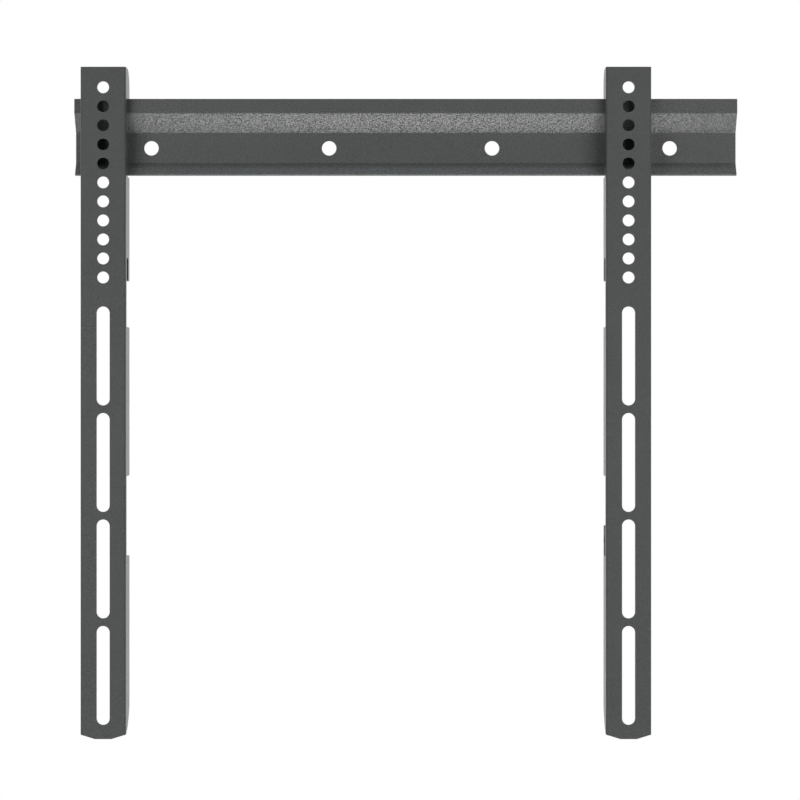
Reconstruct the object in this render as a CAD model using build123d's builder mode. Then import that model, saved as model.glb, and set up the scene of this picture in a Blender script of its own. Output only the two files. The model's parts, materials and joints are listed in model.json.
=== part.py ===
import math
import os

from build123d import *

# Fixed wall bracket for a screen: a folded rail for the wall and two folded channels that hang on it.
# Frame: X runs to the right, Y into the wall, Z up. The origin is the middle of the wall holes,
# on the wall itself. All sizes are in millimetres.

# Wall rail, a folded sheet
rail_sheet = 2.0
rail_bend = 0.3              # inside radius of a bend
rail_left = 225.9            # from the origin to the left end
rail_right = 219.5           # from the origin to the right end
plate_above = 10.3           # front of the plate, above the wall holes
plate_below = 10.0           # front of the plate, below the wall holes
slope_angle = 40.0           # how far the web and the lower lip lean out of the plate
web_rise = 12.7              # height of the slanting web
lip_height = 9.3             # height of the upright lip
lower_lip_drop = 7.8         # height of the lower lip's front face
wall_hole_diameter = 9.8
wall_hole_inner = 110.0      # spacing of the two inner wall holes
wall_hole_outer = 350.0      # spacing of the two outer wall holes

# Arms, two like channels folded from thinner sheet
arm_sheet = 1.5
arm_bend = 0.2               # inside radius of a bend
arm_width = 30.4
arm_depth = 25.0             # from the wall to the arm's front
left_arm_center = -205.2
right_arm_center = 145.6
head_height = 20.2           # from the hook's seat up to the top
head_radius = 12.0           # rear corner at the top of a flange
tongue_drop = 3.0            # front plate below the flanges
tongue_width = 11.1          # flat end of the front plate

# Screw holes and slots in an arm's front
screw_hole_diameter = 7.9
screw_hole_pitch = 12.7
screw_hole_count = 11
first_screw_hole = 13.7      # from the top
slot_lead = 19.4             # from the last screw hole to the first slot's end
slot_length = 66.0
slot_width = 8.7
slot_bridge = 5.1            # metal between two slots
slot_count = 4
slot_margin = 6.5            # from the last slot to the end of the flanges

# Side profile of the flanges, from the hook down
hook_clearance = 0.5         # between the lip and the notch, front and back
finger_length = 7.3          # hook behind the lip
finger_lead = 3.0            # rounding that guides the hook over the lip
under_clearance = 0.9        # between the lower lip and the notch's end
upper_section = 127.1        # from the top to the first cut-out
upper_gap = 46.4
middle_section = 100.0       # full depth between the cut-outs
lower_gap = 53.8
gap_strip = 5.5              # depth of flange left in front of a gap
prong_depth = 8.5
upper_prong_length = 15.3
eye_prong_length = 20.3
eye_diameter = 4.7
eye_from_tip = 10.1
tail_length = 16.9           # taper at the lower end
tail_radius = 34.0
gap_radius = 1.5             # corners of the cut-outs

os.makedirs("parts", exist_ok=True)

# Section of the rail: the line runs through the middle of the sheet, from the lower lip to the upright lip
lean = math.tan(math.radians(slope_angle))
half_sheet = rail_sheet / 2
corner_shift = half_sheet * math.tan(math.radians(slope_angle / 2))
plate_middle = -half_sheet
lip_middle = plate_middle - web_rise * lean
lip_top = plate_above + web_rise + lip_height
# The lower lip ends square to its own slope, so its middle ends half a thickness beyond its front corner
lower_tip_y = -rail_sheet - lower_lip_drop * lean + half_sheet * math.cos(math.radians(slope_angle))
lower_tip_z = -plate_below - lower_lip_drop - half_sheet * math.sin(math.radians(slope_angle))
rail_path = [
    (lower_tip_y, lower_tip_z),
    (plate_middle, -plate_below - corner_shift),
    (plate_middle, plate_above + corner_shift),
    (lip_middle, plate_above + web_rise + corner_shift),
    (lip_middle, lip_top),
]
rail_bottom = lower_tip_z - half_sheet * math.sin(math.radians(slope_angle))

with BuildPart() as wall_rail:
    with BuildSketch(Plane.YZ.offset(-rail_left)):
        with BuildLine():
            FilletPolyline(*rail_path, radius=rail_bend + half_sheet)
        trace(line_width=rail_sheet)
    extrude(amount=rail_left + rail_right)
    with BuildSketch(Plane.XZ):
        for spacing in (wall_hole_inner, wall_hole_outer):
            with GridLocations(spacing, 0, 2, 1):
                Circle(wall_hole_diameter / 2)
    extrude(amount=rail_sheet, mode=Mode.SUBTRACT)
wall_rail.part.label = "wall_rail"
export_step(wall_rail.part, "parts/wall_rail.step")

# Side profile of an arm: from the front of the top, over the rear edge with its hook and gaps, to the tail
arm_front = -arm_depth
arm_top = lip_top + head_height
last_screw_hole = arm_top - first_screw_hole - (screw_hole_count - 1) * screw_hole_pitch
slots_top = last_screw_hole - slot_lead
slot_pitch = slot_length + slot_bridge
flange_bottom = slots_top - slot_count * slot_pitch + slot_bridge - slot_margin
arm_bottom = flange_bottom - tongue_drop
upper_gap_top = arm_top - upper_section
upper_gap_bottom = upper_gap_top - upper_gap
lower_gap_top = upper_gap_bottom - middle_section
lower_gap_bottom = lower_gap_top - lower_gap
notch_front = lip_middle - half_sheet - hook_clearance
notch_back = lip_middle + half_sheet + hook_clearance
notch_bottom = rail_bottom - under_clearance
strip_edge = arm_front + gap_strip
prong_edge = -prong_depth
prong_tip = upper_gap_top - upper_prong_length
rear_edge = [
    (arm_front, arm_top, 0),
    (0, arm_top, head_radius),
    (0, lip_top - finger_length, gap_radius),
    (notch_back, lip_top - finger_length, finger_lead),
    (notch_back, lip_top, hook_clearance),
    (notch_front, lip_top, hook_clearance),
    (notch_front, notch_bottom, gap_radius),
    (0, notch_bottom, gap_radius),
    (0, prong_tip, gap_radius),
    (prong_edge, prong_tip, gap_radius),
    (prong_edge, upper_gap_top, gap_radius),
    (strip_edge, upper_gap_top, gap_radius),
    (strip_edge, upper_gap_bottom, gap_radius),
    (0, upper_gap_bottom, gap_radius),
    (0, lower_gap_top, gap_radius),
    (strip_edge, lower_gap_top, gap_radius),
    (strip_edge, lower_gap_bottom, gap_radius),
    (0, lower_gap_bottom, gap_radius),
    (0, flange_bottom + tail_length, 0),
]
rear_points = [(y, z) for y, z, radius in rear_edge]
rear_radii = [radius for y, z, radius in rear_edge[1:-1]]
plate_back = arm_front + arm_sheet

for arm_name, arm_center in (("left_arm", left_arm_center), ("right_arm", right_arm_center)):
    arm_left = arm_center - arm_width / 2
    with BuildPart() as arm:
        # Channel section, open towards the wall
        with BuildSketch(Plane.XY.offset(arm_bottom)):
            with BuildLine():
                half_width = arm_width / 2 - arm_sheet / 2
                FilletPolyline(
                    (arm_center - half_width, 0),
                    (arm_center - half_width, arm_front + arm_sheet / 2),
                    (arm_center + half_width, arm_front + arm_sheet / 2),
                    (arm_center + half_width, 0),
                    radius=arm_bend + arm_sheet / 2,
                )
            trace(line_width=arm_sheet)
        extrude(amount=arm_top - arm_bottom)

        # Both flanges are cut to the side profile
        with BuildSketch(Plane.YZ.offset(arm_left)):
            with BuildLine():
                FilletPolyline(*rear_points, radius=rear_radii)
                RadiusArc(rear_points[-1], (plate_back, flange_bottom), tail_radius)
                Polyline(
                    (plate_back, flange_bottom),
                    (plate_back, arm_bottom),
                    (arm_front, arm_bottom),
                    (arm_front, arm_top),
                )
            make_face()
        extrude(amount=arm_width, mode=Mode.INTERSECT)

        # Prong with an eye, on the left flange alone
        with BuildSketch(Plane.YZ.offset(arm_left)):
            eye_tip = lower_gap_bottom + eye_prong_length
            prong_foot = prong_edge - 2 * gap_radius
            prong_root = lower_gap_bottom - gap_radius
            with BuildLine():
                FilletPolyline(
                    (0, prong_root),
                    (0, eye_tip),
                    (prong_edge, eye_tip),
                    (prong_edge, lower_gap_bottom),
                    (prong_foot, lower_gap_bottom),
                    radius=gap_radius,
                )
                Polyline(
                    (prong_foot, lower_gap_bottom),
                    (prong_foot, prong_root),
                    (0, prong_root),
                )
            make_face()
            with Locations((prong_edge / 2, eye_tip - eye_from_tip)):
                Circle(eye_diameter / 2, mode=Mode.SUBTRACT)
        extrude(amount=arm_sheet)

        # The front plate ends in a blunt tongue
        with BuildSketch(Plane.XZ.offset(arm_depth)):
            with BuildLine():
                Polyline(
                    (arm_left, arm_top),
                    (arm_left, flange_bottom),
                    (arm_center - tongue_width / 2, arm_bottom),
                    (arm_center + tongue_width / 2, arm_bottom),
                    (arm_left + arm_width, flange_bottom),
                    (arm_left + arm_width, arm_top),
                    close=True,
                )
            make_face()
        extrude(amount=-arm_depth, mode=Mode.INTERSECT)

        # Screw holes and slots for the screen
        with BuildSketch(Plane.XZ.offset(arm_depth)):
            for index in range(screw_hole_count):
                with Locations((arm_center, arm_top - first_screw_hole - index * screw_hole_pitch)):
                    Circle(screw_hole_diameter / 2)
            for index in range(slot_count):
                with Locations((arm_center, slots_top - slot_length / 2 - index * slot_pitch)):
                    SlotOverall(slot_length, slot_width, rotation=90)
        extrude(amount=-arm_sheet, mode=Mode.SUBTRACT)
    arm.part.label = arm_name
    export_step(arm.part, f"parts/{arm_name}.step")
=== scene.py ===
import json
import math
import bmesh
import bpy
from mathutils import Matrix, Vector


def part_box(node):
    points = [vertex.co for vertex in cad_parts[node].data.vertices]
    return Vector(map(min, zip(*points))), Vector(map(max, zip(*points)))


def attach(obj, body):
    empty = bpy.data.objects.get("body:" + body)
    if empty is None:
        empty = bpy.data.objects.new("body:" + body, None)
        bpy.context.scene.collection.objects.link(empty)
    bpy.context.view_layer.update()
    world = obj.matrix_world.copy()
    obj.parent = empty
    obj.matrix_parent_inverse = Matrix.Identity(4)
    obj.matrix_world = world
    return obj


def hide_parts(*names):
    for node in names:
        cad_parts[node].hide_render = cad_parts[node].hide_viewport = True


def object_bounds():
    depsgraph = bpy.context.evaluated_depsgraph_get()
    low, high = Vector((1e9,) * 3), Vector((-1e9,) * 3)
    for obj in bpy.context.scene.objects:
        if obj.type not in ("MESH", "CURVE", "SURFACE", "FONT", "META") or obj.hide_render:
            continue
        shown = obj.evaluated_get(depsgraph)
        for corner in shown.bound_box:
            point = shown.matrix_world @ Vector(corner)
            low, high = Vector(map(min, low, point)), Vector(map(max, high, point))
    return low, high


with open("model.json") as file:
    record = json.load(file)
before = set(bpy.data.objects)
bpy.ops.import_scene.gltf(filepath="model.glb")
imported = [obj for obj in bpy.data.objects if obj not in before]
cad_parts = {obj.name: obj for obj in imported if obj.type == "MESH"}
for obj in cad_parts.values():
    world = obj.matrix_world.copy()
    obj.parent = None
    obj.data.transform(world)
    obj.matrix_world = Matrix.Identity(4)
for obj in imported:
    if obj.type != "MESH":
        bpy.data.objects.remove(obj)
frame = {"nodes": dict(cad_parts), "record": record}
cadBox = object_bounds()
mm = 0.001
mounts = {mount["name"]: mount for mount in frame["record"]["mounts"]}
print("frame loaded:", ", ".join(sorted(frame["nodes"])))

# camera, at the photograph's viewing angle: straight on, a little below the rail
cameraSetup = {
    "place": (0.003, -1.995, -0.170),
    "tilt": 90,              # level, towards the wall
    "lens": 132.81,
    "sensor": 36.0,
    "shiftX": -0.01875,      # the photograph's vanishing point is 15 pixels right of its middle
    "farLimit": 50.0,
}
cameraData = bpy.data.cameras.new("photoCamera")
cameraData.sensor_fit = "HORIZONTAL"
cameraData.sensor_width = cameraSetup["sensor"]
cameraData.lens = cameraSetup["lens"]
cameraData.shift_x = cameraSetup["shiftX"]
cameraData.clip_end = cameraSetup["farLimit"]
photoCamera = bpy.data.objects.new("photoCamera", cameraData)
photoCamera.location = cameraSetup["place"]
photoCamera.rotation_euler = (math.radians(cameraSetup["tilt"]), 0, 0)
bpy.context.scene.collection.objects.link(photoCamera)
bpy.context.scene.camera = photoCamera
bpy.context.scene.view_settings.view_transform = "Standard"
print("camera set")


def addNode(tree, kind, values=None, **settings):
    node = tree.nodes.new(kind)
    for name, value in settings.items():
        setattr(node, name, value)
    for name, value in (values or {}).items():
        node.inputs[name].default_value = value
    return node


def addMath(tree, operation, first, second):
    node = addNode(tree, "ShaderNodeMath", operation=operation)
    for index, value in enumerate((first, second)):
        if isinstance(value, bpy.types.NodeSocket):
            tree.links.new(value, node.inputs[index])
        else:
            node.inputs[index].default_value = value
    return node.outputs[0]


# the sum of several values, each with its share
def addShares(tree, *shares):
    parts = [addMath(tree, "MULTIPLY", value, share) for value, share in shares]
    total = parts[0]
    for part in parts[1:]:
        total = addMath(tree, "ADD", total, part)
    return total


def addRange(tree, value, fromSpan, toSpan, smooth=False):
    levels = zip(("From Min", "From Max", "To Min", "To Max"), (*fromSpan, *toSpan))
    node = addNode(tree, "ShaderNodeMapRange", dict(levels), clamp=True)
    node.interpolation_type = "SMOOTHSTEP" if smooth else "LINEAR"
    tree.links.new(value, node.inputs["Value"])
    return node.outputs["Result"]


def addColourMix(tree, share, first, second):
    node = addNode(tree, "ShaderNodeMix", data_type="RGBA")
    sockets = {socket.identifier: socket for socket in (*node.inputs, *node.outputs)}
    sockets["A_Color"].default_value = (*first, 1)
    sockets["B_Color"].default_value = (*second, 1)
    tree.links.new(share, sockets["Factor_Float"])
    return sockets["Result_Color"]


# 1 where the camera or a mirrored ray looks, 0 where light is gathered
def addLooked(tree, rays):
    looked = addMath(tree, "MAXIMUM", rays.outputs["Is Camera Ray"], rays.outputs["Is Glossy Ray"])
    return addMath(tree, "MAXIMUM", looked, rays.outputs["Is Transmission Ray"])


# powder coat grain, shared by the rail's and the arms' finish
powder = {
    "pebbleBlend": 0.6,          # how far the pebbles run into each other
    "dustFineness": 2.7,         # how much finer the dust is than the pebbles
    "hillHeight": 0.45,
    "grainHeight": 0.75,
    "dustHeight": 0.2,
    "grainTone": 0.8,
    "mottleTone": 0.2,
    "grainGloss": 0.7,
    "mottleGloss": 0.3,
    "noiseSpan": (0.35, 0.65),   # the noise's usual range, for tone and gloss
    "spotSpan": (0.42, 0.58),    # a narrower one, so that the resin spots stand out
}


def makePowderGrain():
    group = bpy.data.node_groups.new("powderGrain", "ShaderNodeTree")
    face = group.interface
    face.new_socket("Coordinates", in_out="INPUT", socket_type="NodeSocketVector")
    face.new_socket("Pebble Size", in_out="INPUT", socket_type="NodeSocketFloat")
    face.new_socket("Mottle Size", in_out="INPUT", socket_type="NodeSocketFloat")
    for name in ("Height", "Tone", "Gloss", "Sparkle"):
        face.new_socket(name, in_out="OUTPUT", socket_type="NodeSocketFloat")
    entry = addNode(group, "NodeGroupInput")
    leave = addNode(group, "NodeGroupOutput")
    link = group.links.new
    pebbleScale = addMath(group, "DIVIDE", 1.0, entry.outputs["Pebble Size"])
    dustScale = addMath(group, "MULTIPLY", pebbleScale, powder["dustFineness"])
    mottleScale = addMath(group, "DIVIDE", 1.0, entry.outputs["Mottle Size"])

    pebble = addNode(group, "ShaderNodeTexVoronoi", {"Smoothness": powder["pebbleBlend"], "Randomness": 1.0},
                     feature="SMOOTH_F1")
    grain = addNode(group, "ShaderNodeTexNoise", {"Detail": 2.0, "Roughness": 0.55})
    dust = addNode(group, "ShaderNodeTexNoise", {"Detail": 1.0, "Roughness": 0.5})
    mottle = addNode(group, "ShaderNodeTexNoise", {"Detail": 3.0, "Roughness": 0.5})
    scales = ((pebble, pebbleScale), (grain, pebbleScale), (dust, dustScale), (mottle, mottleScale))
    for node, scale in scales:
        link(entry.outputs["Coordinates"], node.inputs["Vector"])
        link(scale, node.inputs["Scale"])

    # melted powder: round pebbles that run into each other, with finer grain and dust on them
    hills = addMath(group, "SUBTRACT", 1.0, pebble.outputs["Distance"])
    pigment = addMath(group, "SUBTRACT", 1.0, grain.outputs["Fac"])     # darker under the resin spots
    height = addShares(group, (hills, powder["hillHeight"]), (grain.outputs["Fac"], powder["grainHeight"]),
                       (dust.outputs["Fac"], powder["dustHeight"]))
    tone = addShares(group, (pigment, powder["grainTone"]), (mottle.outputs["Fac"], powder["mottleTone"]))
    gloss = addShares(group, (grain.outputs["Fac"], powder["grainGloss"]),
                      (mottle.outputs["Fac"], powder["mottleGloss"]))
    link(height, leave.inputs["Height"])
    link(tone, leave.inputs["Tone"])
    link(gloss, leave.inputs["Gloss"])
    link(grain.outputs["Fac"], leave.inputs["Sparkle"])
    return group


powderGrain = makePowderGrain()


def makeCoat(name, coat):
    material = bpy.data.materials.new(name)
    material.use_nodes = True
    tree = material.node_tree
    tree.nodes.clear()
    link = tree.links.new
    output = addNode(tree, "ShaderNodeOutputMaterial")
    shader = addNode(tree, "ShaderNodeBsdfPrincipled", {
        "IOR": coat["paintIndex"],
        "Specular IOR Level": coat["baseShine"],
        "Coat IOR": coat["glazeIndex"],
        "Coat Roughness": coat["glazeRoughness"],
    })
    place = addNode(tree, "ShaderNodeTexCoord")
    sizes = {"Pebble Size": coat["pebbleSize"], "Mottle Size": coat["mottleSize"]}
    grain = addNode(tree, "ShaderNodeGroup", sizes, node_tree=powderGrain)
    link(place.outputs["Object"], grain.inputs["Coordinates"])

    shade = addRange(tree, grain.outputs["Tone"], powder["noiseSpan"], (0.0, 1.0))
    link(addColourMix(tree, shade, coat["darkTone"], coat["lightTone"]), shader.inputs["Base Color"])
    roughness = addRange(tree, grain.outputs["Gloss"], powder["noiseSpan"], (coat["glossy"], coat["matt"]))
    link(roughness, shader.inputs["Roughness"])
    # melted resin lies on top in spots
    spots = addRange(tree, grain.outputs["Sparkle"], powder["spotSpan"],
                     (coat["dullSpots"], coat["brightSpots"]))
    link(spots, shader.inputs["Coat Weight"])

    relief = addNode(tree, "ShaderNodeBump", {
        "Strength": coat["reliefStrength"],
        "Distance": coat["reliefDepth"],
    })
    link(grain.outputs["Height"], relief.inputs["Height"])
    link(relief.outputs["Normal"], shader.inputs["Normal"])
    link(shader.outputs["BSDF"], output.inputs["Surface"])
    return material


# the rail's tones are painted lighter than the arms' to make up for the shade the rail sits in behind and
# between the arms: painted light on top of its grain tone
railFinishWithPaintedLight = {
    "darkTone": (0.075, 0.078, 0.075),
    "lightTone": (0.093, 0.097, 0.094),
    "paintIndex": 1.5,
    "baseShine": 0.06,
    "glazeIndex": 1.8,
    "glazeRoughness": 0.28,
    "dullSpots": 0.0,
    "brightSpots": 0.78,
    "glossy": 0.24,
    "matt": 0.32,
    "pebbleSize": 0.9 * mm,
    "mottleSize": 45 * mm,
    "reliefStrength": 1.0,
    "reliefDepth": 0.1 * mm,
}
# the arms wear the same powder coat; their tones are painted darker to offset the extra light the near panels
# give them: painted shade on top of their grain tone
armFinishWithPaintedShade = {
    **railFinishWithPaintedLight,
    "darkTone": (0.066, 0.069, 0.066),
    "lightTone": (0.082, 0.086, 0.083),
    "baseShine": 0.3,
    "glazeRoughness": 0.31,
    "brightSpots": 0.39,
    "glossy": 0.27,
    "matt": 0.35,
    "mottleSize": 60 * mm,
    "reliefDepth": 0.2 * mm,
}
railCoat = makeCoat("railCoat", railFinishWithPaintedLight)
armCoat = makeCoat("armCoat", armFinishWithPaintedShade)
print("powder coat made")

# sheet work, the same for every sheet: angles in degrees, welds and slack in metres
sheetWork = {
    "rimPoints": 10,         # in each rounded corner of a cut
    "blankWeld": 2e-6,
    "edgeSegments": 3,
    "edgeAngle": 40,
    "bendSteps": 8,
    "bendSlack": 1e-7,
    "foldWeld": 1e-6,
    "creaseAngle": 50,
    "flatWeight": 100,       # keeps the large faces evenly shaded
    "cornerStep": 9,         # between the points of a rounded corner
    "bowSteps": 24,
}

# a flat blank is punched from its outline by rows of holes and slots, as the sheet is before it is folded
punchRows = ("First", "Second", "Third")
punchSizes = (("Start", "NodeSocketVector"), ("Step", "NodeSocketVector"), ("Count", "NodeSocketInt"),
              ("Length", "NodeSocketFloat"), ("Width", "NodeSocketFloat"))


def makePunchedBlank():
    tree = bpy.data.node_groups.new("punchedBlank", "GeometryNodeTree")
    face = tree.interface
    face.new_socket("Outline", in_out="INPUT", socket_type="NodeSocketGeometry")
    face.new_socket("Sheet", in_out="INPUT", socket_type="NodeSocketFloat")
    face.new_socket("Rim Points", in_out="INPUT", socket_type="NodeSocketInt")
    face.new_socket("Finish", in_out="INPUT", socket_type="NodeSocketMaterial")
    for row in punchRows:
        for size, kind in punchSizes:
            face.new_socket(f"{row} {size}", in_out="INPUT", socket_type=kind)
    face.new_socket("Blank", in_out="OUTPUT", socket_type="NodeSocketGeometry")
    entry = addNode(tree, "NodeGroupInput")
    leave = addNode(tree, "NodeGroupOutput")
    link = tree.links.new

    cutLines = addNode(tree, "GeometryNodeJoinGeometry")
    outline = addNode(tree, "GeometryNodeMeshToCurve")
    link(entry.outputs["Outline"], outline.inputs["Mesh"])
    link(outline.outputs["Curve"], cutLines.inputs["Geometry"])
    for row in punchRows:
        line = addNode(tree, "GeometryNodeMeshLine", mode="OFFSET", count_mode="TOTAL")
        link(entry.outputs[f"{row} Count"], line.inputs["Count"])
        link(entry.outputs[f"{row} Start"], line.inputs["Start Location"])
        link(entry.outputs[f"{row} Step"], line.inputs["Offset"])
        punch = addNode(tree, "GeometryNodeCurvePrimitiveQuadrilateral", mode="RECTANGLE")
        link(entry.outputs[f"{row} Width"], punch.inputs["Width"])
        link(entry.outputs[f"{row} Length"], punch.inputs["Height"])
        # corners of half the width make a slot's round ends, and a hole where it is as long as wide
        rounded = addNode(tree, "GeometryNodeFilletCurve", {"Limit Radius": True}, mode="POLY")
        link(punch.outputs["Curve"], rounded.inputs["Curve"])
        link(entry.outputs["Rim Points"], rounded.inputs["Count"])
        link(addMath(tree, "MULTIPLY", entry.outputs[f"{row} Width"], 0.5), rounded.inputs["Radius"])
        placed = addNode(tree, "GeometryNodeInstanceOnPoints")
        link(line.outputs["Mesh"], placed.inputs["Points"])
        link(rounded.outputs["Curve"], placed.inputs["Instance"])
        real = addNode(tree, "GeometryNodeRealizeInstances")
        link(placed.outputs["Instances"], real.inputs["Geometry"])
        link(real.outputs["Geometry"], cutLines.inputs["Geometry"])

    filled = addNode(tree, "GeometryNodeFillCurve", mode="TRIANGLES")
    link(cutLines.outputs["Geometry"], filled.inputs["Curve"])
    lift = addNode(tree, "ShaderNodeCombineXYZ")
    link(entry.outputs["Sheet"], lift.inputs["Z"])
    thick = addNode(tree, "GeometryNodeExtrudeMesh", {"Offset Scale": 1.0, "Individual": False}, mode="FACES")
    link(filled.outputs["Mesh"], thick.inputs["Mesh"])
    link(lift.outputs["Vector"], thick.inputs["Offset"])
    under = addNode(tree, "GeometryNodeFlipFaces")
    link(filled.outputs["Mesh"], under.inputs["Mesh"])
    both = addNode(tree, "GeometryNodeJoinGeometry")
    link(thick.outputs["Mesh"], both.inputs["Geometry"])
    link(under.outputs["Mesh"], both.inputs["Geometry"])
    closed = addNode(tree, "GeometryNodeMergeByDistance", {"Distance": sheetWork["blankWeld"]})
    link(both.outputs["Geometry"], closed.inputs["Geometry"])
    real = addNode(tree, "GeometryNodeRealizeInstances")
    link(closed.outputs["Geometry"], real.inputs["Geometry"])
    coated = addNode(tree, "GeometryNodeSetMaterial")
    link(real.outputs["Geometry"], coated.inputs["Geometry"])
    link(entry.outputs["Finish"], coated.inputs["Material"])
    link(coated.outputs["Geometry"], leave.inputs["Blank"])
    return tree


punchedBlank = makePunchedBlank()
punchSockets = {item.name: item.identifier
                for item in punchedBlank.interface.items_tree if item.in_out == "INPUT"}


# one row of like cuts; a round hole is as long as it is wide
def cutRow(start, step, count, width, length=None):
    return {
        "start": (*start, 0),
        "step": (*step, 0),
        "count": count,
        "length": length or width,
        "width": width,
    }


def bakeModifiers(piece):
    bpy.context.view_layer.update()
    plain = bpy.data.meshes.new_from_object(piece.evaluated_get(bpy.context.evaluated_depsgraph_get()))
    piece.modifiers.clear()
    piece.data = plain


def punchSheet(name, outline, sheet, rows, finish, softEdge):
    count = len(outline)
    sides = [(index, (index + 1) % count) for index in range(count)]
    mesh = bpy.data.meshes.new(name)
    mesh.from_pydata([(x, y, 0) for x, y in outline], sides, [])
    blank = bpy.data.objects.new(name, mesh)
    bpy.context.scene.collection.objects.link(blank)
    punch = blank.modifiers.new("punch", "NODES")
    punch.node_group = punchedBlank
    sizes = {"Sheet": sheet, "Rim Points": sheetWork["rimPoints"], "Finish": finish}
    for row, cut in zip(punchRows, rows):
        sizes.update({f"{row} {size}": cut[size.lower()] for size, kind in punchSizes})
    for size, value in sizes.items():
        punch[punchSockets[size]] = value
    # the coat rounds every cut edge
    edge = blank.modifiers.new("softEdge", "BEVEL")
    edge.width = softEdge
    edge.segments = sheetWork["edgeSegments"]
    edge.limit_method = "ANGLE"
    edge.angle_limit = math.radians(sheetWork["edgeAngle"])
    edge.use_clamp_overlap = False
    edge.loop_slide = False
    bakeModifiers(blank)
    return blank


def leftOf(heading):
    return Vector((-heading.y, heading.x))


def turnBetween(first, last):
    return math.atan2(first.x * last.y - first.y * last.x, first.dot(last))


def arcPoints(centre, first, last, steps):
    turn = turnBetween(first, last)
    points = []
    for step in range(steps + 1):
        angle = turn * step / steps
        points.append(centre + Vector((first.x * math.cos(angle) - first.y * math.sin(angle),
                                       first.x * math.sin(angle) + first.y * math.cos(angle))))
    return points


# the section that a sheet is folded to: flats and bends along the middle of the sheet
def sectionSpans(corners, bendRadius):
    corners = [Vector(corner) for corner in corners]
    spans = []
    start = corners[0]
    for before, corner, after in zip(corners, corners[1:], corners[2:]):
        heading = (corner - before).normalized()
        leaving = (after - corner).normalized()
        turn = turnBetween(heading, leaving)
        reach = bendRadius * math.tan(abs(turn) / 2)
        bendStart = corner - heading * reach
        spans.append({"start": start, "heading": heading, "turn": 0.0, "length": (bendStart - start).length})
        spans.append({"start": bendStart, "heading": heading, "turn": turn, "length": bendRadius * abs(turn)})
        start = corner + leaving * reach
    spans.append({"start": start, "heading": leaving, "turn": 0.0, "length": (corners[-1] - start).length})
    return spans


# where a place across the flat blank comes to lie in the section, and which way the sheet runs there
def sectionPoint(spans, across):
    for span in spans:
        if across <= span["length"] or span is spans[-1]:
            break
        across -= span["length"]
    if not span["turn"]:
        return span["start"] + span["heading"] * across, span["heading"]
    radius = span["length"] / span["turn"]
    angle = across / radius
    aside = leftOf(span["heading"])
    onward = span["heading"] * (radius * math.sin(angle))
    inward = aside * (radius * (1 - math.cos(angle)))
    return span["start"] + onward + inward, span["heading"] * math.cos(angle) + aside * math.sin(angle)


def foldSheet(blank, spans, sheet, placePoint):
    bm = bmesh.new()
    bm.from_mesh(blank.data)
    reached = 0.0
    for span in spans:
        if span["turn"]:
            for step in range(sheetWork["bendSteps"] + 1):
                across = reached + span["length"] * step / sheetWork["bendSteps"]
                bmesh.ops.bisect_plane(bm, geom=bm.verts[:] + bm.edges[:] + bm.faces[:],
                                       dist=sheetWork["bendSlack"],
                                       plane_co=(across, 0, 0), plane_no=(1, 0, 0))
        reached += span["length"]
    for vert in bm.verts:
        point, heading = sectionPoint(spans, vert.co.x)
        vert.co = placePoint(point + leftOf(heading) * (vert.co.z - sheet / 2), vert.co.y)
    bmesh.ops.remove_doubles(bm, verts=bm.verts[:], dist=sheetWork["foldWeld"])
    bmesh.ops.recalc_face_normals(bm, faces=bm.faces[:])
    bm.to_mesh(blank.data)
    bm.free()
    blank.data.shade_smooth()
    blank.data.set_sharp_from_angle(angle=math.radians(sheetWork["creaseAngle"]))
    even = blank.modifiers.new("evenShading", "WEIGHTED_NORMAL")
    even.mode = "FACE_AREA"
    even.weight = sheetWork["flatWeight"]
    even.keep_sharp = True
    bakeModifiers(blank)


# a closed outline from corners with their radii
def roundedLine(corners):
    points = []
    count = len(corners)
    turnStep = math.radians(sheetWork["cornerStep"])
    for index, (x, y, radius) in enumerate(corners):
        corner = Vector((x, y))
        if not radius:
            points.append(corner)
            continue
        toBefore = (Vector(corners[index - 1][:2]) - corner).normalized()
        toAfter = (Vector(corners[(index + 1) % count][:2]) - corner).normalized()
        halfAngle = toBefore.angle(toAfter) / 2
        centre = corner + (toBefore + toAfter).normalized() * (radius / math.sin(halfAngle))
        first = corner + toBefore * (radius / math.tan(halfAngle)) - centre
        last = corner + toAfter * (radius / math.tan(halfAngle)) - centre
        steps = max(2, round(abs(turnBetween(first, last)) / turnStep))
        points += arcPoints(centre, first, last, steps)
    return points


# an arc that bows outwards between two points
def bowedLine(start, end, radius):
    start, end = Vector(start), Vector(end)
    chord = end - start
    outward = Vector((chord.y, -chord.x)).normalized()
    centre = (start + end) / 2 - outward * math.sqrt(radius ** 2 - (chord.length / 2) ** 2)
    return arcPoints(centre, start - centre, end - centre, sheetWork["bowSteps"])


# wall rail: one sheet folded three times, with four wall holes
rail = {
    "sheet": 2.0 * mm,
    "bend": 0.3 * mm,
    "slope": math.radians(40),
    "plateAbove": 10.3 * mm,
    "plateBelow": 10.0 * mm,
    "softEdge": 0.25 * mm,
}
railLow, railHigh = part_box("wall_rail")
railHalf = rail["sheet"] / 2
lean = math.tan(rail["slope"])
cornerShift = railHalf * math.tan(rail["slope"] / 2)
lipMiddle = railLow.y + railHalf
webRise = -(lipMiddle + railHalf) / lean
lowerTip = railLow.z + railHalf * math.sin(rail["slope"])
lowerLipDrop = -lowerTip - rail["plateBelow"] - railHalf * math.sin(rail["slope"])
railCorners = [
    (-rail["sheet"] - lowerLipDrop * lean + railHalf * math.cos(rail["slope"]), lowerTip),
    (-railHalf, -rail["plateBelow"] - cornerShift),
    (-railHalf, rail["plateAbove"] + cornerShift),
    (lipMiddle, rail["plateAbove"] + webRise + cornerShift),
    (lipMiddle, railHigh.z),
]
railSpans = sectionSpans(railCorners, rail["bend"] + railHalf)
lowerLip, lowerBend, plate = railSpans[:3]
railWidth = sum(span["length"] for span in railSpans)
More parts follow.
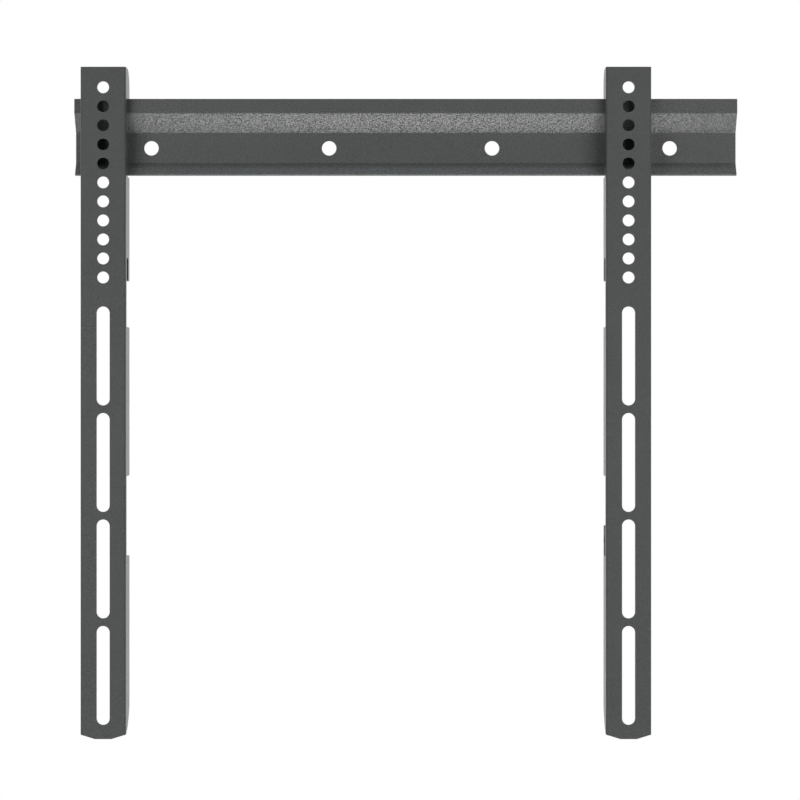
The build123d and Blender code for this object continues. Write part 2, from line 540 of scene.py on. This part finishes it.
holeLine = lowerLip["length"] + lowerBend["length"] - plate["start"].y
railOutline = [(0, railLow.x), (railWidth, railLow.x), (railWidth, railHigh.x), (0, railHigh.x)]
railRows = []
for name in ("wall_bolts_inner", "wall_bolts_outer"):
    dims = mounts[name]["dims"]
    spacing = dims["spacing_x_mm"] * mm
    railRows.append(cutRow((holeLine, -spacing / 2), (0, spacing), dims["count"], 2 * dims["hole_r_mm"] * mm))
railRows.append(cutRow((0, 0), (0, 0), 0, mm))       # the rail needs no third row
railSheet = punchSheet("railSheet", railOutline, rail["sheet"], railRows, railCoat, rail["softEdge"])
foldSheet(railSheet, railSpans, rail["sheet"], lambda point, along: Vector((along, point.x, point.y)))
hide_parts("wall_rail")
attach(railSheet, "root")
print("rail folded,", len(railSheet.data.polygons), "faces")

# arms: a channel with hook notches, two cut-outs and prongs along its rear edges
arm = {
    "sheet": 1.5 * mm,
    "bend": 0.2 * mm,
    "headRadius": 12.0 * mm,
    "hookClearance": 0.5 * mm,
    "fingerLength": 7.3 * mm,
    "fingerLead": 3.0 * mm,
    "underClearance": 0.9 * mm,
    "upperSection": 127.1 * mm,
    "upperGap": 46.4 * mm,
    "middleSection": 100.0 * mm,
    "lowerGap": 53.8 * mm,
    "gapStrip": 5.5 * mm,
    "prongDepth": 8.5 * mm,
    "upperProng": 15.3 * mm,
    "eyeProng": 20.3 * mm,
    "eyeDiameter": 4.7 * mm,
    "eyeFromTip": 10.1 * mm,
    "tailLength": 16.9 * mm,
    "tailRadius": 34.0 * mm,
    "tongueDrop": 3.0 * mm,
    "tongueWidth": 11.1 * mm,
    "gapRadius": 1.5 * mm,
    "softEdge": 0.2 * mm,
}


# a flange's rear edge from the head down, as depth from the wall, height and corner radius
def flangeEdge(low, high, withEye):
    soft = arm["gapRadius"]
    prong = arm["prongDepth"]
    strip = high.y - low.y - arm["gapStrip"]
    notchBack = -lipMiddle - railHalf - arm["hookClearance"]
    notchFront = -lipMiddle + railHalf + arm["hookClearance"]
    seat = railHigh.z
    notchBottom = railLow.z - arm["underClearance"]
    upperTop = high.z - arm["upperSection"]
    upperBottom = upperTop - arm["upperGap"]
    lowerTop = upperBottom - arm["middleSection"]
    lowerBottom = lowerTop - arm["lowerGap"]
    eyeTip = lowerBottom + arm["eyeProng"]
    edge = [
        (0, high.z, arm["headRadius"]),
        (0, seat - arm["fingerLength"], soft),
        (notchBack, seat - arm["fingerLength"], arm["fingerLead"]),
        (notchBack, seat, arm["hookClearance"]),
        (notchFront, seat, arm["hookClearance"]),
        (notchFront, notchBottom, soft),
        (0, notchBottom, soft),
        (0, upperTop - arm["upperProng"], soft),
        (prong, upperTop - arm["upperProng"], soft),
        (prong, upperTop, soft),
        (strip, upperTop, soft),
        (strip, upperBottom, soft),
        (0, upperBottom, soft),
        (0, lowerTop, soft),
        (strip, lowerTop, soft),
        (strip, lowerBottom, soft),
    ]
    if withEye:
        edge += [(prong, lowerBottom, soft), (prong, eyeTip, soft), (0, eyeTip, soft)]
    else:
        edge += [(0, lowerBottom, soft)]
    return edge, eyeTip - arm["eyeFromTip"]


# the flat blank's outline: the left flange with the eyed prong, the front plate's tongue, the right flange
def armOutline(low, high, spans):
    total = sum(span["length"] for span in spans)
    flangeFlat, bendLength = spans[0]["length"], spans[1]["length"]
    plateEdge = flangeFlat + bendLength
    flangeBottom = low.z + arm["tongueDrop"]
    halfTongue = arm["tongueWidth"] / 2
    halfWidth = (high.x - low.x) / 2
    plateCorner = low.z + arm["tongueDrop"] * (total / 2 - plateEdge - halfTongue) / (halfWidth - halfTongue)
    tail = bowedLine((0, flangeBottom + arm["tailLength"]), (high.y - low.y - arm["sheet"], flangeBottom),
                     arm["tailRadius"])
    foot = [(min(point.x, flangeFlat), point.y, 0) for point in tail]
    foot += [(plateEdge, plateCorner, 0), (total / 2 - halfTongue, low.z, 0)]
    leftEdge, eyeHeight = flangeEdge(low, high, True)
    rightEdge = flangeEdge(low, high, False)[0]
    corners = leftEdge + foot
    corners += [(total - x, y, radius) for x, y, radius in reversed(rightEdge + foot)]
    return roundedLine(corners), total / 2, eyeHeight


def foldArm(name, node, slotRow):
    low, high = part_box(node)
    centre = (low.x + high.x) / 2
    side = (high.x - low.x) / 2 - arm["sheet"] / 2
    front = low.y + arm["sheet"] / 2
    section = [(-side, 0), (-side, front), (side, front), (side, 0)]
    spans = sectionSpans(section, arm["bend"] + arm["sheet"] / 2)
    outline, middle, eyeHeight = armOutline(low, high, spans)

    outerHoles, innerHoles = mounts["screen_holes_outer"], mounts["screen_holes_inner"]
    topHole = mounts["screen_holes_top"]["pos_m"][2]
    holePitch = innerHoles["dims"]["spacing_y_mm"] * mm
    lowestHole = outerHoles["pos_m"][2] - outerHoles["dims"]["spacing_y_mm"] * mm / 2
    holeCount = 1 + round((topHole - lowestHole) / holePitch)
    holeWidth = 2 * innerHoles["dims"]["hole_r_mm"] * mm
    outerSlots, innerSlots = mounts[f"{slotRow}_outer"], mounts[f"{slotRow}_inner"]
    slotSpan = outerSlots["dims"]["spacing_y_mm"] * mm
    slotPitch = innerSlots["dims"]["spacing_y_mm"] * mm
    topSlot = outerSlots["pos_m"][2] + slotSpan / 2
    slotCount = 1 + round(slotSpan / slotPitch)
    slotWidth = 2 * outerSlots["dims"]["hole_r_mm"] * mm
    slotLength = outerSlots["dims"]["slot_length_mm"] * mm
    rows = [
        cutRow((middle, topHole), (0, -holePitch), holeCount, holeWidth),
        cutRow((middle, topSlot), (0, -slotPitch), slotCount, slotWidth, slotLength),
        cutRow((arm["prongDepth"] / 2, eyeHeight), (0, 0), 1, arm["eyeDiameter"]),
    ]
    sheet = punchSheet(name, outline, arm["sheet"], rows, armCoat, arm["softEdge"])
    foldSheet(sheet, spans, arm["sheet"], lambda point, along: Vector((centre + point.x, point.y, along)))
    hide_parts(node)
    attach(sheet, "root")
    print(name, "folded,", len(sheet.data.polygons), "faces,", holeCount, "screw holes,", slotCount, "slots")


foldArm("leftArmSheet", "left_arm", "left_slots")
foldArm("rightArmSheet", "right_arm", "right_slots")

# studio floor: plain and pale, well below the hung part
floorSetup = {
    "drop": 0.24,
    "half": 0.98,
    "colour": (0.86, 0.86, 0.86),
    "roughness": 0.9,
    "glow": 0.3,             # added where the camera or the coat looks at the floor
}
floorLevel = cadBox[0].z - floorSetup["drop"]
floorCorners = [(x * floorSetup["half"], y * floorSetup["half"], floorLevel)
                for x, y in ((-1, -1), (1, -1), (1, 1), (-1, 1))]
floorMesh = bpy.data.meshes.new("studioFloor")
floorMesh.from_pydata(floorCorners, [], [(0, 1, 2, 3)])
studioFloor = bpy.data.objects.new("studioFloor", floorMesh)
bpy.context.scene.collection.objects.link(studioFloor)
floorPaint = bpy.data.materials.new("floorPaint")
floorPaint.use_nodes = True
floorTree = floorPaint.node_tree
floorShader = floorTree.nodes["Principled BSDF"]
floorShader.inputs["Base Color"].default_value = (*floorSetup["colour"], 1)
floorShader.inputs["Roughness"].default_value = floorSetup["roughness"]
floorShader.inputs["Emission Color"].default_value = (1, 1, 1, 1)
floorRays = addNode(floorTree, "ShaderNodeLightPath")
floorGlow = addMath(floorTree, "MULTIPLY", addLooked(floorTree, floorRays), floorSetup["glow"])
floorTree.links.new(floorGlow, floorShader.inputs["Emission Strength"])
floorMesh.materials.append(floorPaint)
studioFloor.visible_shadow = False       # the low panel shines up through it

# the room: white to the camera, a faint tinted light on the part, and a dark side for the coat to mirror
roomSetup = {
    "light": 0.04,
    "above": (0.65, 1.0, 1.20),
    "below": (0.75, 1.0, 1.10),
    "tintSpan": (-0.5, 0.5),     # from below to above
    "darkSide": 0.085,           # how bright the camera's side looks in the coat
    "brightSide": 0.9,           # and the far side
    "sideSpan": (-0.3, 0.5),     # from the camera's side to the far side
}
room = bpy.data.worlds.new("whiteRoom")
bpy.context.scene.world = room
room.use_nodes = True
roomTree = room.node_tree
roomTree.nodes.clear()
roomLink = roomTree.links.new
roomOut = addNode(roomTree, "ShaderNodeOutputWorld")
heading = addNode(roomTree, "ShaderNodeTexCoord")
axes = addNode(roomTree, "ShaderNodeSeparateXYZ")
roomLink(heading.outputs["Generated"], axes.inputs["Vector"])
rays = addNode(roomTree, "ShaderNodeLightPath")
sides = addRange(roomTree, axes.outputs["Y"], roomSetup["sideSpan"],
                 (roomSetup["darkSide"], roomSetup["brightSide"]), smooth=True)
seen = addNode(roomTree, "ShaderNodeBackground", {"Color": (1, 1, 1, 1)})
roomLink(addMath(roomTree, "MAXIMUM", sides, rays.outputs["Is Camera Ray"]), seen.inputs["Strength"])
lit = addNode(roomTree, "ShaderNodeBackground", {"Strength": roomSetup["light"]})
upward = addRange(roomTree, axes.outputs["Z"], roomSetup["tintSpan"], (0.0, 1.0), smooth=True)
roomLink(addColourMix(roomTree, upward, roomSetup["below"], roomSetup["above"]), lit.inputs["Color"])
roomMix = addNode(roomTree, "ShaderNodeMixShader")
roomLink(addLooked(roomTree, rays), roomMix.inputs[0])
roomLink(lit.outputs["Background"], roomMix.inputs[1])
roomLink(seen.outputs["Background"], roomMix.inputs[2])
roomLink(roomMix.outputs["Shader"], roomOut.inputs["Surface"])
room.cycles.sampling_method = "NONE"

# soft panels, tall ones in front and behind, flat ones below and above
# tilt 90 faces the wall, 180 faces up and 0 down, and turn swings it about the upright
tallPanel = {
    "size": (0.75, 1.5),
    "tilt": 90,
    "turn": 0,
    "spread": 115,
    "colour": (1.0, 1.0, 0.99),
    "mirrored": False,           # polarised, so that the coat doesn't mirror it
}
flatPanel = {
    "turn": 0,
    "spread": 180,
    "mirrored": True,
}
panels = {
    "leftPanel": {**tallPanel, "place": (-0.665, -1.0, -0.17), "power": 6.7},
    "rightPanel": {**tallPanel, "place": (0.665, -1.0, -0.17), "power": 7.2},
    "backLeftPanel": {**tallPanel, "place": (-0.625, 1.0, -0.17), "turn": 180, "power": 4.5},
    "backRightPanel": {**tallPanel, "place": (0.625, 1.0, -0.17), "turn": 180, "power": 4.5},
    "lowPanel": {**flatPanel, "place": (0.015, -0.375, -2.0), "size": (0.93, 0.75), "tilt": 180,
                 "power": 11.7, "colour": (1.0, 1.0, 0.99)},
    "highPanel": {**flatPanel, "place": (0.015, -0.47, 2.0), "size": (0.93, 0.21), "tilt": 0,
                  "power": 2.9, "colour": (0.90, 1.0, 1.10)},
}
for name, setup in panels.items():
    lampData = bpy.data.lights.new(name, "AREA")
    lampData.shape = "RECTANGLE"
    lampData.size, lampData.size_y = setup["size"]
    lampData.spread = math.radians(setup["spread"])
    lampData.energy = setup["power"]
    lampData.color = setup["colour"]
    lampData.cycles.use_multiple_importance_sampling = not setup["mirrored"]
    lamp = bpy.data.objects.new(name, lampData)
    lamp.location = setup["place"]
    lamp.rotation_euler = (math.radians(setup["tilt"]), 0, math.radians(setup["turn"]))
    lamp.visible_camera = False
    lamp.visible_glossy = setup["mirrored"]
    bpy.context.scene.collection.objects.link(lamp)
print("studio lit")
